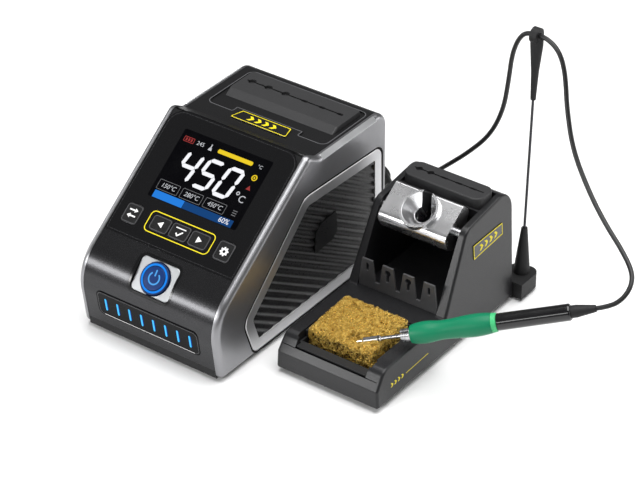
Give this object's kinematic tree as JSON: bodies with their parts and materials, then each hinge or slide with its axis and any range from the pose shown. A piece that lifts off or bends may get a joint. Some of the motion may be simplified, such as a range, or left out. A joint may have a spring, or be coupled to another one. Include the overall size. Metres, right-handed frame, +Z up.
{
  "type": "soldering iron station",
  "caption": "Compact soldering station: sloped colour-display console, separate weighted iron stand with brass wool tray and tilting holder, cord rod, and a corded cartridge iron.",
  "frame": {"origin": "on the bench, under the middle of the box round console, stand and iron, without the cord", "axes": "+X from the console towards the stand, +Y from the front towards the rear, +Z up"},
  "size_m": [0.2922, 0.2409, 0.1772],
  "materials": {
    "dark_satin": "satin metallic dark grey",
    "stand_plastic": "satin near-black",
    "gloss_black": "gloss black",
    "screen_glass": "gloss black glass",
    "plate_silver": "satin silver",
    "glow_blue": "lit blue light guide",
    "button_blue": "gloss dark blue",
    "key_black": "satin near-black",
    "frame_silver": "brushed",
    "inner_plastic": "matte black",
    "rubber_black": "matte",
    "lcd": "lit display",
    "board_green": "solder-mask green",
    "transformer_tape": "taped winding on a core",
    "aluminium_satin": "satin",
    "steel": "bright steel",
    "brass_curls": "bright brass shavings",
    "cartridge_steel": "polished",
    "grip_green": "soft matte green",
    "ring_green": "light green",
    "cord_silicone": "satin black silicone"
  },
  "bodies": {
    "station": {"fascia": "dark_satin", "power_bezel": "dark_satin", "power_plate": "plate_silver", "led_panel": "gloss_black", "led_bars": "glow_blue", "display_glass": "screen_glass", "front_frame": "inner_plastic", "lcd_module": "lcd", "control_board": "board_green", "main_shell": "dark_satin", "cap_pad": "inner_plastic", "cap_badge": "gloss_black", "side_shell_left": "dark_satin", "side_shell_right": "dark_satin", "trim_frame_left": "frame_silver", "trim_frame_right": "frame_silver", "ribbed_panel_left": "gloss_black", "ribbed_panel_right": "gloss_black", "top_trims": "frame_silver", "base_pan": "inner_plastic", "console_feet": "rubber_black", "main_board": "board_green", "transformer": "transformer_tape", "heat_sink": "aluminium_satin", "rear_panel": "inner_plastic", "iec_inlet": "gloss_black", "handle_socket": "gloss_black", "rear_screws": "steel", "stand_shell": "stand_plastic", "stand_base": "inner_plastic", "stand_feet": "rubber_black", "stand_weight": "steel", "wool_tray": "steel", "brass_wool": "brass_curls", "tip_plate": "steel", "holder_pins": "steel", "stand_pad": "rubber_black", "side_badge": "gloss_black", "rod_boot": "rubber_black", "cord_rod": "steel", "rod_clip": "rubber_black", "cord_plug": "rubber_black", "cord_rear": "cord_silicone", "cord_rise": "cord_silicone", "cord_lead": "cord_silicone", "cord_coil": "cord_silicone"},
    "button": {"power_button": "button_blue", "power_ring": "glow_blue"},
    "channel_key": {"key_channel": "key_black"},
    "left_key": {"key_left": "key_black"},
    "mode_key": {"key_mode": "key_black"},
    "right_key": {"key_right": "key_black"},
    "settings_key": {"key_settings": "key_black"},
    "iron_holder": {"holder": "aluminium_satin"},
    "iron": {"cartridge": "cartridge_steel", "collet": "steel", "grip": "grip_green", "grip_ring": "ring_green", "handle_tube": "gloss_black", "strain_relief": "rubber_black"}
  },
  "joints": [
    {"name": "button_press", "type": "slide", "parent": "station", "child": "button", "axis": [0, 0.7547, -0.6561], "range_m": [0, 0.0012], "stiffness_N_per_m": 400, "springref_m": -0.0004},
    {"name": "channel_key_press", "type": "slide", "parent": "station", "child": "channel_key", "axis": [0, 0.5864, -0.81], "range_m": [0, 0.0008], "stiffness_N_per_m": 300, "springref_m": -0.0003},
    {"name": "left_key_press", "type": "slide", "parent": "station", "child": "left_key", "axis": [0, 0.5864, -0.81], "range_m": [0, 0.0008], "stiffness_N_per_m": 300, "springref_m": -0.0003},
    {"name": "mode_key_press", "type": "slide", "parent": "station", "child": "mode_key", "axis": [0, 0.5864, -0.81], "range_m": [0, 0.0008], "stiffness_N_per_m": 300, "springref_m": -0.0003},
    {"name": "right_key_press", "type": "slide", "parent": "station", "child": "right_key", "axis": [0, 0.5864, -0.81], "range_m": [0, 0.0008], "stiffness_N_per_m": 300, "springref_m": -0.0003},
    {"name": "settings_key_press", "type": "slide", "parent": "station", "child": "settings_key", "axis": [0, 0.5864, -0.81], "range_m": [0, 0.0008], "stiffness_N_per_m": 300, "springref_m": -0.0003},
    {"name": "holder_tilt", "type": "hinge", "parent": "station", "child": "iron_holder", "pos_m": [0.0144, 0.0307, 0.067], "axis": [1, 0, 0], "range_deg": [-12, 12]},
    {"name": "iron_lift", "type": "slide", "parent": "station", "child": "iron", "axis": [0.8617, 0.4213, 0.2829], "range_m": [0, 0.04], "deforming": ["cord_lead"]}
  ]
}
